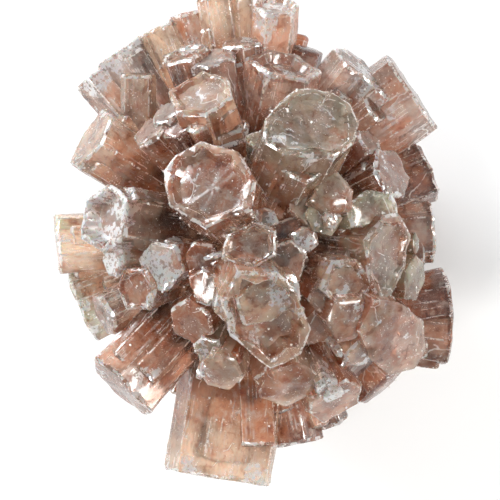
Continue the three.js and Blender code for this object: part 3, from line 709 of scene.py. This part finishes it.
@dataclass(frozen=True)
class GrowthRelief:
    """The relief that growth left on a prism, as a Geometry Nodes tree.

    Attributes:
        pitch: the spacing of the striations on the sides.
        striation: how deep they are.
        ledge: the height of the ledges that cross the sides.
        lump: how uneven the end faces are.
    """

    pitch: float = 0.55
    striation: float = 0.05
    ledge: float = 0.2
    lump: float = 0.3

    def tree(self) -> bpy.types.NodeTree:
        """Build the tree: striations and ledges on the sides, lumps on the ends, pushed along the normals.

        Returns:
            The tree, with named inputs.
        """
        tree = bpy.data.node_groups.new("growth_relief", "GeometryNodeTree")
        new_sockets(tree, "INPUT", {
            "Geometry": ("NodeSocketGeometry", None),
            "Striation pitch": ("NodeSocketFloat", self.pitch),
            "Striation depth": ("NodeSocketFloat", self.striation),
            "Ledge height": ("NodeSocketFloat", self.ledge),
            "Lump height": ("NodeSocketFloat", self.lump),
            "Seed": ("NodeSocketInt", 0),
            "Material": ("NodeSocketMaterial", None),
        })
        new_sockets(tree, "OUTPUT", {"Geometry": ("NodeSocketGeometry", None)})
        g = Graph(tree)
        given = g.add("NodeGroupInput").outputs
        named = {"data_type": "FLOAT_VECTOR"}
        grain = g.add("GeometryNodeInputNamedAttribute", {"Name": "grain"}, **named).outputs[0]
        marks = g.add("GeometryNodeInputNamedAttribute", {"Name": "marks"}, **named).outputs[0]
        on_end = g.math("MINIMUM", g.add("ShaderNodeSeparateXYZ", {0: marks}).outputs[1], 1.0)
        on_side = g.math("SUBTRACT", 1.0, on_end)
        seeded = g.vector("ADD", grain, g.scaled((3.1, 5.3, 0.0), given["Seed"]))
        stretched = g.vector("MULTIPLY", seeded, (1.0, 1.0, 0.04))
        frequency = g.math("DIVIDE", 1.0, given["Striation pitch"])
        lines = g.span(g.noise(stretched, frequency, 1.0), 0.35, 0.65, -0.5, 0.5, "LINEAR")
        broad = g.noise(g.vector("MULTIPLY", seeded, (1.0, 1.0, 0.5)), 0.22, 1.0)
        terraces = g.math("SNAP", g.span(broad, 0.3, 0.7, -2.0, 2.0, "LINEAR"), 1.0)
        striations = g.times(lines, given["Striation depth"])
        ledges = g.times(terraces, given["Ledge height"])
        sides = g.times(g.plus(striations, g.times(ledges, 0.5)), on_side)
        flat = g.vector("MULTIPLY", seeded, (1.0, 1.0, 0.0))
        uneven = g.span(g.noise(flat, 0.3, 2.0, 0.4), 0.3, 0.7, -0.5, 0.5, "LINEAR")
        ends = g.times(g.times(uneven, given["Lump height"]), on_end)
        height = g.times(g.plus(sides, ends), MM)
        push = g.scaled(g.add("GeometryNodeInputNormal").outputs[0], height)
        moved = g.add("GeometryNodeSetPosition", {"Geometry": given["Geometry"], "Offset": push}).outputs[0]
        real = g.add("GeometryNodeRealizeInstances", {"Geometry": moved}).outputs[0]
        dressed = g.add("GeometryNodeSetMaterial", {"Geometry": real, "Material": given["Material"]}).outputs[0]
        g.add("NodeGroupOutput", {0: dressed})
        return tree


def run_tree(piece: bpy.types.Object, tree: bpy.types.NodeTree, values: dict[str, object]) -> bpy.types.Mesh:
    """Put a piece through a Geometry Nodes tree.

    Args:
        piece: the object to start from, which keeps its mesh.
        tree: the tree.
        values: input name to value.

    Returns:
        The resulting plain mesh.
    """
    modifier = piece.modifiers.new("growth", "NODES")
    modifier.node_group = tree
    sockets = {item.name: item.identifier for item in tree.interface.items_tree if item.in_out == "INPUT"}
    for name, value in values.items():
        modifier[sockets[name]] = value
    depsgraph = bpy.context.evaluated_depsgraph_get()
    mesh = bpy.data.meshes.new_from_object(piece.evaluated_get(depsgraph))
    piece.modifiers.remove(modifier)
    return mesh


def keep_above_floor(mesh: bpy.types.Mesh) -> None:
    """Lift what the relief pushed below the resting surface back to it.

    Args:
        mesh: the mesh to change.
    """
    places = np.zeros(len(mesh.vertices) * 3, np.float32)
    mesh.vertices.foreach_get("co", places)
    places[2::3] = np.maximum(places[2::3], 0)
    mesh.vertices.foreach_set("co", places)


@dataclass
class Cluster:
    """The whole cluster: every prism, meshed finely, given its relief and joined into one skin.

    Attributes:
        mesher: builds the prisms.
        relief: the growth relief.
        sharp_degrees: the fold from which an edge is shaded as sharp.
        host: the width from which a prism has a companion, in millimetres.
        wide_host: the width from which a prism in the picture has several.
        most_companions: how many it has then.
    """

    mesher: PrismMesher = field(default_factory=PrismMesher)
    relief: GrowthRelief = field(default_factory=GrowthRelief)
    sharp_degrees: float = 28.0
    host: float = 4.6
    wide_host: float = 6.0
    most_companions: int = 3

    def companions(self, crystal: Crystal) -> list[Crystal]:
        """List the thinner prisms that grew against a wide one and step its sides and end.

        Args:
            crystal: the wide prism.

        Returns:
            The companions, which stay within its length.
        """
        corners = section_corners(crystal)
        width = np.hypot(*corners.T).min() * 2
        if width < self.host or crystal.name == "resting_end":
            return []
        root, end = Vector(crystal.root), Vector(crystal.end)
        across, depth, along = axes_of(root, end)
        made = []
        few = width < self.wide_host or crystal.seed >= len(UPPER)
        for k in range(1 if few else self.most_companions):
            seed = crystal.seed * 10 + k
            first = int(chance(seed, 30) * len(corners))
            mid = (corners[first] + corners[(first + 1) % len(corners)]) / 2 * between(0.5, 0.62, seed, 31)
            size = width * between(0.52, 0.68, seed, 32)
            shift = across * mid[0] + depth * mid[1]
            back = between(0.8, 4.5, seed, 33) + crystal.hollow * 0.5
            new = Crystal(f"{crystal.name}_{k}", crystal.kind, tuple(end + shift - along * back), size, size)
            new.root = tuple(root + (end - root) * 0.2 + shift * crystal.taper)
            new.twist = crystal.twist + 60 * chance(seed, 34) * (chance(seed, 35) > 0.6)
            new.taper, new.frost_and_glare, new.rust = 1.0, crystal.frost_and_glare, crystal.rust
            new.seed = 1000 + seed
            made.append(new)
        return made

    def prisms(self, material: bpy.types.Material) -> list[bpy.types.Object]:
        """Mesh every prism and its companions.

        Args:
            material: the crystal's material.

        Returns:
            One object for each, with its relief in its mesh.
        """
        tree = self.relief.tree()
        made = []
        crystals = all_crystals()
        crystals += [c for crystal in crystals for c in self.companions(crystal)]
        for crystal in crystals:
            piece = bpy.data.objects.new(crystal.name, self.mesher.mesh(crystal))
            bpy.context.scene.collection.objects.link(piece)
            size = np.hypot(*section_corners(crystal).T).min()
            fade = min(1.0, size / 3.0)
            values = {
                "Striation pitch": self.relief.pitch,
                "Striation depth": self.relief.striation * fade,
                "Ledge height": self.relief.ledge * fade,
                "Lump height": self.relief.lump * fade * (crystal.name != "resting_end"),
                "Seed": crystal.seed,
                "Material": material,
            }
            piece.data = run_tree(piece, tree, values)
            made.append(piece)
        log.info("prisms: %d, %d faces before joining", len(made), sum(len(p.data.polygons) for p in made))
        return made

    def build(self, material: bpy.types.Material) -> bpy.types.Object:
        """Join the prisms into one closed skin.

        Args:
            material: the crystal's material.

        Returns:
            The finished piece, at the origin.
        """
        prisms = self.prisms(material)
        first, rest = prisms[0], prisms[1:]
        group = bpy.data.collections.new("prisms")
        bpy.context.scene.collection.children.link(group)
        for piece in rest:
            group.objects.link(piece)
        union = first.modifiers.new("join", "BOOLEAN")
        union.operation = "UNION"
        union.solver = "MANIFOLD"
        union.operand_type = "COLLECTION"
        union.collection = group
        mesh = bpy.data.meshes.new_from_object(first.evaluated_get(bpy.context.evaluated_depsgraph_get()))
        for piece in prisms:
            bpy.data.objects.remove(piece)
        bpy.data.collections.remove(group)
        self.keep_outer_skin(mesh)
        keep_above_floor(mesh)
        mesh.materials.clear()
        mesh.materials.append(material)
        mesh.shade_smooth()
        mesh.set_sharp_from_angle(angle=math.radians(self.sharp_degrees))
        cluster = bpy.data.objects.new("crystals", mesh)
        bpy.context.scene.collection.objects.link(cluster)
        return cluster

    @staticmethod
    def keep_outer_skin(mesh: bpy.types.Mesh) -> None:
        """Delete the shut-in pockets of a joined mesh, so that only its outer skin is left.

        Args:
            mesh: the mesh to change.
        """
        shell = bmesh.new()
        shell.from_mesh(mesh)
        left = set(shell.verts)
        largest: set = set()
        while left:
            start = left.pop()
            found, edge = {start}, [start]
            while edge:
                vert = edge.pop()
                for link in vert.link_edges:
                    other = link.other_vert(vert)
                    if other not in found:
                        found.add(other)
                        edge.append(other)
            left -= found
            if len(found) > len(largest):
                largest = found
        bmesh.ops.delete(shell, geom=[v for v in shell.verts if v not in largest], context="VERTS")
        shell.to_mesh(mesh)
        shell.free()


@dataclass(frozen=True)
class Grains:
    """The crumbs of crystal that sit on the faces and edges of the cluster, as a Geometry Nodes tree.

    Attributes:
        per_square_millimetre: how many sit on a face.
        on_edges: how many more sit where an edge is.
        smallest: the width of the smallest, in millimetres.
        largest: the width of the largest, in millimetres.
        full_turn: how far one may be turned about each axis, in radians.
        seed: what the places and sizes are drawn with.
    """

    per_square_millimetre: float = 0.07
    on_edges: float = 1.1
    smallest: float = 0.07
    largest: float = 0.32
    full_turn: float = 6.28
    seed: int = 7

    def tree(self) -> bpy.types.NodeTree:
        """Build the tree: points over the faces, a chip of crystal on each, turned and sized by chance.

        Returns:
            The tree, with named inputs.
        """
        tree = bpy.data.node_groups.new("scattered_grains", "GeometryNodeTree")
        new_sockets(tree, "INPUT", {
            "Geometry": ("NodeSocketGeometry", None),
            "Density": ("NodeSocketFloat", self.per_square_millimetre),
            "Edge density": ("NodeSocketFloat", self.on_edges),
            "Smallest": ("NodeSocketFloat", self.smallest),
            "Largest": ("NodeSocketFloat", self.largest),
            "Seed": ("NodeSocketInt", self.seed),
            "Material": ("NodeSocketMaterial", None),
        })
        new_sockets(tree, "OUTPUT", {"Geometry": ("NodeSocketGeometry", None)})
        g = Graph(tree)
        given = g.add("NodeGroupInput").outputs
        marks = g.add("GeometryNodeInputNamedAttribute", {"Name": "marks"}, data_type="FLOAT_VECTOR").outputs[0]
        edge = g.add("ShaderNodeSeparateXYZ", {0: marks}).outputs[0]
        place = g.scaled(g.add("GeometryNodeInputPosition").outputs[0], 1 / MM)
        crowd = g.span(g.noise(place, 0.18, 3.0), 0.42, 0.62, 0.15, 2.4)
        on_edge = g.times(edge, given["Edge density"])
        density = g.plus(g.times(given["Density"], crowd), on_edge)
        points = g.add("GeometryNodeDistributePointsOnFaces", {
            "Mesh": given["Geometry"],
            "Density": g.math("DIVIDE", density, MM * MM),
            "Seed": given["Seed"],
        }, distribute_method="RANDOM")
        chip = g.add("GeometryNodeMeshCone", {
            "Vertices": 5, "Radius Top": 0.32, "Radius Bottom": 0.5, "Depth": 0.8,
        }).outputs["Mesh"]
        width = g.add("FunctionNodeRandomValue", {"Seed": given["Seed"]}, data_type="FLOAT")
        small = g.math("POWER", width.outputs[1], 2.5)
        spread = g.math("SUBTRACT", given["Largest"], given["Smallest"])
        size = g.plus(given["Smallest"], g.times(small, spread))
        turns = {0: (0, 0, 0), 1: (self.full_turn,) * 3, "Seed": given["Seed"]}
        turn = g.add("FunctionNodeRandomValue", turns, data_type="FLOAT_VECTOR").outputs[0]
        placed = g.add("GeometryNodeInstanceOnPoints", {
            "Points": points.outputs["Points"],
            "Instance": chip,
            "Rotation": turn,
            "Scale": g.times(size, MM),
        }).outputs[0]
        real = g.add("GeometryNodeRealizeInstances", {"Geometry": placed}).outputs[0]
        dressed = g.add("GeometryNodeSetMaterial", {"Geometry": real, "Material": given["Material"]}).outputs[0]
        g.add("NodeGroupOutput", {0: dressed})
        return tree

    def build(self, cluster: bpy.types.Object, material: bpy.types.Material) -> bpy.types.Object:
        """Scatter the grains.

        Args:
            cluster: the finished crystals.
            material: the grains' material.

        Returns:
            The grains as one plain mesh, at the origin.
        """
        mesh = run_tree(cluster, self.tree(), {"Seed": self.seed, "Material": material})
        keep_above_floor(mesh)
        grains = bpy.data.objects.new("sparkling_grains", mesh)
        bpy.context.scene.collection.objects.link(grains)
        return grains


@dataclass(frozen=True)
class AragoniteFinish:
    """The look of the crystal: glassy, cloudy inside, rusty towards the heart, with painted shade in the gaps near
    the heart, frosted white that is partly a painted glare, and painted highlights on edges and grains.

    Attributes:
        transmission: how much light passes straight through.
        cloud: how much of the rest is scattered inside.
        ior: aragonite's refractive index.
        scatter: how far red, green and blue light spread inside, in metres.
        rust: the colour where iron has stained the crystal.
        painted_gap_shade: the near-black painted shade laid into the gaps near the heart.
        veil: the colour of cloudy growth inside.
        cloud_shade: what the clear places between the clouds are darkened by.
        ring: what an end face is stained by, around its middle.
        core: the colour of the cloudy middle of an end face.
        band: what the bands along the sides are darkened by.
        frost_and_glare_white: the colour of a frosted face.
        pale_mark_and_highlight: the colour of a bright edge or grain.
        rusting: how strongly rust covers the crystal.
        coring: how strongly the cloudy middle shows.
        clouding: how strongly the clouds show.
        banding: how strongly the bands show.
        gap_shade_strength: how strongly the gaps near the heart are darkened.
        dusting: how strongly the dust shows.
        scoring: how strongly the fine lines on the sides show.
        frost_and_glare_cover: how strongly the frosted white, partly a painted glare, covers the crystal.
        crack_cover: how strongly cracks show.
        worn_edge_and_glint_cover: how strongly a worn edge with a painted highlight, and a painted sparkle, shows.
        coat: the gloss where nothing sparkles.
        coat_roughness: how rough the sparkling skin is.
        coat_ior: how strongly the sparkling skin mirrors.
        bump: the depth of the finest relief, in millimetres.
        bump_strength: how strongly it shows.
        dark_within: the distance from the heart within which the painted shade in the gaps is full, in millimetres.
        clear_beyond: the distance beyond which no painted shade is laid.
    """

    transmission: float = 0.7
    cloud: float = 0.75
    ior: float = 1.6
    scatter: Triple = (0.0018, 0.0009, 0.0006)
    rust: tuple = (0.54, 0.17, 0.06, 1.0)
    painted_gap_shade: tuple = (0.028, 0.010, 0.005, 1.0)
    veil: tuple = (0.78, 0.68, 0.58, 1.0)
    cloud_shade: tuple = (0.62, 0.42, 0.34, 1.0)
    ring: tuple = (0.86, 0.48, 0.32, 1.0)
    core: tuple = (0.44, 0.33, 0.28, 1.0)
    band: tuple = (0.50, 0.32, 0.25, 1.0)
    frost_and_glare_white: tuple = (0.94, 0.97, 0.99, 1.0)
    pale_mark_and_highlight: tuple = (1.0, 0.96, 0.92, 1.0)
    rusting: float = 0.72
    coring: float = 0.5
    clouding: float = 0.6
    banding: float = 0.12
    gap_shade_strength: float = 0.96
    dusting: float = 0.65
    scoring: float = 0.5
    frost_and_glare_cover: float = 0.95
    crack_cover: float = 0.6
    worn_edge_and_glint_cover: float = 0.9
    coat: float = 0.04
    coat_roughness: float = 0.14
    coat_ior: float = 4.0
    bump: float = 0.2
    bump_strength: float = 0.7
    dark_within: float = 12.5
    clear_beyond: float = 19.0

    def rust_and_shade_group(self) -> bpy.types.NodeTree:
        """Build the group that says how much painted shade darkens the gaps at a place near the heart, and how rusty
        the crystal is there.

        Returns:
            The group, which puts out two masks.
        """
        tree = bpy.data.node_groups.new("heart_rust_and_painted_shade", "ShaderNodeTree")
        new_sockets(tree, "INPUT", {
            "Place": ("NodeSocketVector", None),
            "Dark within": ("NodeSocketFloat", self.dark_within),
            "Clear beyond": ("NodeSocketFloat", self.clear_beyond),
            "Iron": ("NodeSocketFloat", 0.3),
        })
        new_sockets(tree, "OUTPUT", dict.fromkeys(("Depth", "Iron"), ("NodeSocketFloat", None)))
        g = Graph(tree)
        given = g.add("NodeGroupInput").outputs
        millimetres = g.vector("SUBTRACT", g.scaled(given["Place"], 1 / MM), (0.0, 0.0, HEART_HEIGHT))
        distance = g.add("ShaderNodeVectorMath", {0: millimetres}, operation="LENGTH").outputs[1]
        # Painted shade: the depth mask darkens the gaps near the heart, out to a distance that wanders.
        wander = g.span(g.noise(millimetres, 0.22, 3.0), 0.3, 0.7, -5.0, 5.0, "LINEAR")
        sockets = {"Value": g.plus(distance, wander), "From Min": given[2], "From Max": given[1]}
        depth = g.add("ShaderNodeMapRange", sockets, interpolation_type="SMOOTHSTEP").outputs[0]
        patches = g.noise(millimetres, 0.2, 4.0, 0.62)
        reach = g.span(distance, 17.0, 27.0, 0.16, -0.06, "LINEAR")
        amount = g.plus(g.plus(patches, reach), g.times(given["Iron"], 0.28))
        g.add("NodeGroupOutput", {0: depth, 1: g.span(amount, 0.60, 0.74)})
        return tree

    def growth_and_glint_group(self) -> bpy.types.NodeTree:
        """Build the group that draws what growth left, and some painted light: fine lines, cloudy veils,
        frosted patches that are partly painted glare, cracks and painted sparkles.

        Returns:
            The group, which puts out one mask for each.
        """
        tree = bpy.data.node_groups.new("growth_marks_and_painted_glints", "ShaderNodeTree")
        new_sockets(tree, "INPUT", {
            "Grain": ("NodeSocketVector", None),
            "Pitch": ("NodeSocketFloat", 0.32),
            "Frost": ("NodeSocketFloat", 0.3),
        })
        drawn = ("Lines", "Veil", "Frost", "Grains", "Planes", "Cracks", "Dust", "Etched lines")
        new_sockets(tree, "OUTPUT", dict.fromkeys(drawn, ("NodeSocketFloat", None)))
        g = Graph(tree)
        given = g.add("NodeGroupInput").outputs
        grain = given["Grain"]
        along = g.vector("MULTIPLY", grain, (1.0, 1.0, 0.05))
        lines = g.noise(along, g.math("DIVIDE", 1.0, given["Pitch"]), 3.0, 0.6)
        swirl = g.add("ShaderNodeTexNoise", {"Vector": grain, "Scale": 0.5}).outputs[1]
        veil = g.noise(g.vector("ADD", grain, g.scaled(swirl, 2.4)), 0.8, 4.0, 0.7)
        # Frosted patches, more near the end: partly a real frosted surface, partly a painted glare.
        from_end = g.times(g.add("ShaderNodeSeparateXYZ", {0: grain}).outputs[2], -1.0)
        near_end = g.span(from_end, 0.5, 5.0, 1.0, 0.25, "LINEAR")
        amount = g.times(given["Frost"], near_end)
        patches = g.noise(g.vector("ADD", g.vector("MULTIPLY", grain, (1.0, 1.0, 0.5)), swirl), 0.3, 3.0, 0.62)
        frost_and_glare = g.span(g.plus(patches, g.times(amount, 0.3)), 0.68, 0.76)
        speckle = g.span(g.noise(grain, 1.8, 2.0, 0.75), 0.40, 0.58, 0.15, 1.0)
        # Painted sparkles: small bright points that stand in for glints of light.
        jitter = g.add("ShaderNodeTexNoise", {"Vector": grain, "Scale": 3.0, "Detail": 1.0}).outputs[1]
        painted_sparkles = g.span(g.cells(g.vector("ADD", grain, g.scaled(jitter, 0.9)), 1.7)[0], 0.2, 0.1)
        grains = g.times(painted_sparkles, g.span(g.noise(grain, 0.5, 2.0), 0.52, 0.68))
        skewed = g.vector("ADD", g.vector("MULTIPLY", grain, (1.0, 1.0, 0.45)), g.scaled(swirl, 1.2))
        shades = g.add("ShaderNodeSeparateColor", {0: g.cells(skewed, 0.36)[1]}).outputs[0]
        rifts = g.span(g.cells(skewed, 0.2, "DISTANCE_TO_EDGE")[0], 0.018, 0.004)
        cracks = g.times(rifts, g.span(g.noise(grain, 0.3, 2.0), 0.52, 0.62))
        crowd = g.noise(grain, 0.4, 3.0)
        specks = g.span(g.noise(grain, 4.2, 1.0, 0.75), 0.60, 0.69)
        dust = g.times(specks, g.span(crowd, 0.42, 0.62, 0.1, 1.0))
        fine = g.noise(g.vector("MULTIPLY", grain, (1.0, 1.0, 0.03)), 3.2, 1.0)
        etched = g.times(g.span(fine, 0.58, 0.66), g.span(crowd, 0.42, 0.58))
        outputs = (lines, veil, g.times(frost_and_glare, speckle), grains, shades, cracks, dust, etched)
        g.add("NodeGroupOutput", dict(enumerate(outputs)))
        return tree

    def material(self) -> bpy.types.Material:
        """Build the crystal's material.

        Returns:
            The material.
        """
        material = bpy.data.materials.new("aragonite_crystal")
        material.use_nodes = True
        g = Graph(material.node_tree)
        g.tree.nodes.clear()
        place = g.add("ShaderNodeTexCoord").outputs["Object"]
        grain = g.add("ShaderNodeAttribute", attribute_name="grain").outputs["Vector"]
        marks = g.add("ShaderNodeAttribute", attribute_name="marks").outputs["Vector"]
        tint = g.add("ShaderNodeAttribute", attribute_name="tint").outputs
        edge, inward, iron = g.add("ShaderNodeSeparateXYZ", {0: marks}).outputs
        on_end = g.math("MINIMUM", inward, 1.0)
        # The depth mask is painted shade in the gaps near the heart; the iron mask is real rust.
        rust_and_shade = g.group(self.rust_and_shade_group(), {"Place": place, "Iron": iron})
        growth = g.group(self.growth_and_glint_group(), {"Grain": grain, "Frost": tint["Alpha"]})
        lines, veil, frost_and_glare, grains, planes, cracks, dust, etched = growth
        soft = g.span(g.noise(grain, 0.24, 2.0, 0.5), 0.34, 0.66, 0.58, 1.32, "LINEAR")
        tone = g.times(soft, g.span(planes, 0.0, 1.0, 0.76, 1.3, "LINEAR"))
        grey = g.add("ShaderNodeCombineColor", {0: tone, 1: tone, 2: tone}).outputs[0]
        toned = g.mix(1.0, tint["Color"], grey, "MULTIPLY")
        rusty = g.laid(rust_and_shade["Iron"], self.rusting, toned, self.rust)
        wander = g.span(g.noise(grain, 0.4, 2.0, 0.62), 0.3, 0.7, -0.45, 0.45, "LINEAR")
        wandering = g.plus(inward, wander)
        stained = g.plus(g.times(iron, 0.7), 0.1)
        ring_share = g.times(g.span(wandering, 1.05, 1.3), stained)
        ringed = g.mix(ring_share, rusty, self.ring, "MULTIPLY")
        cored = g.laid(g.span(wandering, 1.35, 1.75), self.coring, ringed, self.core)
        clear = g.mix(g.span(veil, 0.47, 0.36), cored, self.cloud_shade, "MULTIPLY")
        veiled = g.laid(g.span(veil, 0.50, 0.66), self.clouding, clear, self.veil)
        banded = g.mix(g.span(lines, 0.56, 0.44, 0.0, self.banding), veiled, self.band, "MULTIPLY")
        # Painted shade: the gaps near the heart are darkened towards near-black.
        deep = g.laid(rust_and_shade["Depth"], self.gap_shade_strength, banded, self.painted_gap_shade)
        on_side = g.math("SUBTRACT", 1.0, on_end)
        scored = g.times(etched, on_side)
        pale = g.math("MAXIMUM", g.times(dust, self.dusting), g.times(scored, self.scoring))
        dusty = g.mix(pale, deep, self.pale_mark_and_highlight)
        # Frosted white that is partly a painted bluish-white glare.
        frosted = g.laid(frost_and_glare, self.frost_and_glare_cover, dusty, self.frost_and_glare_white)
        cracked = g.laid(cracks, self.crack_cover, frosted, self.pale_mark_and_highlight)
        # Pale edges, partly worn white and partly a painted highlight, then painted sparkles on the grains.
        broken = g.span(g.noise(grain, 0.9, 3.0, 0.7), 0.44, 0.56, 0.0, 1.0)
        bright = g.times(g.span(edge, 0.3, 0.9), broken)
        worn_and_lit_edges = g.laid(bright, self.worn_edge_and_glint_cover, cracked, self.pale_mark_and_highlight)
        colour = g.laid(grains, self.worn_edge_and_glint_cover, worn_and_lit_edges, self.pale_mark_and_highlight)
        shine = g.math("MAXIMUM", frost_and_glare, g.times(bright, 0.8))
        shine = g.math("MAXIMUM", shine, g.times(g.math("MAXIMUM", grains, cracks), 0.7))
        shine = g.math("MAXIMUM", shine, g.times(g.math("MAXIMUM", dust, scored), 0.38))
        rough = g.plus(g.span(veil, 0.35, 0.65, 0.1, 0.24, "LINEAR"), g.times(shine, 0.3))
        fine = g.times(g.times(lines, on_side), 0.5)
        facets = g.times(planes, 0.8)
        tilt = g.plus(g.plus(fine, facets), g.times(grains, -0.5))
        relief = {"Height": tilt, "Distance": self.bump * MM, "Strength": self.bump_strength}
        shader = g.add("ShaderNodeBsdfPrincipled", {
            "Base Color": colour,
            "Roughness": rough,
            "IOR": self.ior,
            "Transmission Weight": self.transmission,
            "Subsurface Weight": self.cloud,
            "Subsurface Scale": 1.0,
            "Subsurface Radius": self.scatter,
            "Normal": g.add("ShaderNodeBump", relief).outputs[0],
            "Coat Weight": g.math("MAXIMUM", shine, self.coat),
            "Coat Roughness": self.coat_roughness,
            "Coat IOR": self.coat_ior,
        })
        g.add("ShaderNodeOutputMaterial", {"Surface": shader.outputs[0]})
        return material


@dataclass(frozen=True)
class GrainFinish:
    """The look of the loose grains: pale and sparkling.

    Attributes:
        colour: their colour.
        roughness: how rough they are.
        ior: their refractive index.
    """

    colour: tuple = (0.82, 0.79, 0.76, 1.0)
    roughness: float = 0.12
    ior: float = 1.6

    def material(self) -> bpy.types.Material:
        """Build the grains' material.

        Returns:
            The material.
        """
        material = bpy.data.materials.new("sparkling_grain")
        material.use_nodes = True
        shader = material.node_tree.nodes["Principled BSDF"]
        shader.inputs["Base Color"].default_value = self.colour
        shader.inputs["Roughness"].default_value = self.roughness
        shader.inputs["IOR"].default_value = self.ior
        return material


@dataclass(frozen=True)
class Lamp:
    """One soft lamp that faces the heart.

    Attributes:
        name: its name.
        towards: the direction from the heart to the lamp.
        size: its side, in millimetres.
        power: its power in watts.
        colour: its colour.
    """

    name: str
    towards: Triple
    size: float
    power: float
    colour: Triple


@dataclass(frozen=True)
class Studio:
    """The camera over the cluster, the pale floor and the soft light.

    Attributes:
        distance: from the camera to the heart.
        frame_width: the width that the picture takes in at the heart.
        over: the point that the camera looks straight down on.
        sensor: the width of the camera's sensor.
        floor_side: the side of the floor.
        floor_grey: how pale the floor is.
        floor_roughness: how rough it is.
        reach: how far away the lamps are.
        sky: the colour of the surroundings.
        sky_strength: how bright they are.
        lamps: the lamps.
    """

    distance: float = 500.0
    frame_width: float = 62.5
    over: Pair = (-0.625, -0.875)
    sensor: float = 36.0
    floor_side: float = 3000.0
    floor_grey: float = 0.93
    floor_roughness: float = 0.9
    reach: float = 700.0
    sky: tuple = (0.93, 0.97, 1.0, 1.0)
    sky_strength: float = 0.40
    lamps: tuple[Lamp, ...] = (
        Lamp("window", (-0.8, 0.75, 0.36), 440, 7.8, (0.94, 0.97, 1.0)),
        Lamp("side", (1.0, 0.1, 0.6), 240, 3.0, (1.0, 0.97, 0.93)),
        Lamp("front", (-0.36, -0.44, 0.80), 190, 2.5, (1.0, 0.99, 0.97)),
    )

    def camera(self) -> None:
        """Make the camera, looking straight down as the photograph does."""
        data = bpy.data.cameras.new("camera")
        data.sensor_width = self.sensor
        data.lens = self.sensor * self.distance / self.frame_width
        data.clip_start = 0.01
        camera = bpy.data.objects.new("camera", data)
        camera.location = Vector((*self.over, HEART_HEIGHT + self.distance)) * MM
        bpy.context.scene.collection.objects.link(camera)
        bpy.context.scene.camera = camera

    def floor(self) -> None:
        """Make the plain pale floor."""
        half = self.floor_side / 2 * MM
        mesh = bpy.data.meshes.new("floor")
        mesh.from_pydata([(-half, -half, 0), (half, -half, 0), (half, half, 0), (-half, half, 0)], [], [(0, 1, 2, 3)])
        material = bpy.data.materials.new("pale_floor")
        material.use_nodes = True
        shader = material.node_tree.nodes["Principled BSDF"]
        shader.inputs["Base Color"].default_value = (*[self.floor_grey] * 3, 1)
        shader.inputs["Roughness"].default_value = self.floor_roughness
        mesh.materials.append(material)
        floor = bpy.data.objects.new("floor", mesh)
        bpy.context.scene.collection.objects.link(floor)

    def light(self) -> None:
        """Make the bright surroundings and the lamps."""
        world = bpy.data.worlds.new("studio")
        world.use_nodes = True
        background = world.node_tree.nodes["Background"]
        background.inputs["Color"].default_value = self.sky
        background.inputs["Strength"].default_value = self.sky_strength
        bpy.context.scene.world = world
        for row in self.lamps:
            data = bpy.data.lights.new(row.name, "AREA")
            data.shape = "SQUARE"
            data.size = row.size * MM
            data.energy = row.power
            data.color = row.colour
            lamp = bpy.data.objects.new(row.name, data)
            direction = Vector(row.towards).normalized()
            lamp.location = (direction * self.reach + Vector((0, 0, HEART_HEIGHT))) * MM
            lamp.rotation_euler = direction.to_track_quat("Z", "Y").to_euler()
            bpy.context.scene.collection.objects.link(lamp)

    def view(self) -> None:
        """Set how the picture shows light, and how often light may bounce."""
        scene = bpy.context.scene
        scene.view_settings.view_transform = "Standard"
        scene.cycles.max_bounces = 6
        scene.cycles.transmission_bounces = 5
        scene.cycles.glossy_bounces = 3
        scene.cycles.diffuse_bounces = 3


def main() -> None:
    """Build the cluster, dress it and set up the picture."""
    logging.basicConfig(level=logging.INFO, format="%(name)s: %(message)s")
    studio = Studio()
    studio.camera()
    studio.floor()
    studio.light()
    studio.view()
    material = AragoniteFinish().material()
    crystals = Cluster().build(material)
    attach(crystals, BODY)
    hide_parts(NODE)
    grains = Grains().build(crystals, GrainFinish().material())
    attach(grains, BODY)
    for piece in (crystals, grains):
        log.info("%s: %d faces", piece.name, len(piece.data.polygons))


if __name__ == "__main__":
    main()
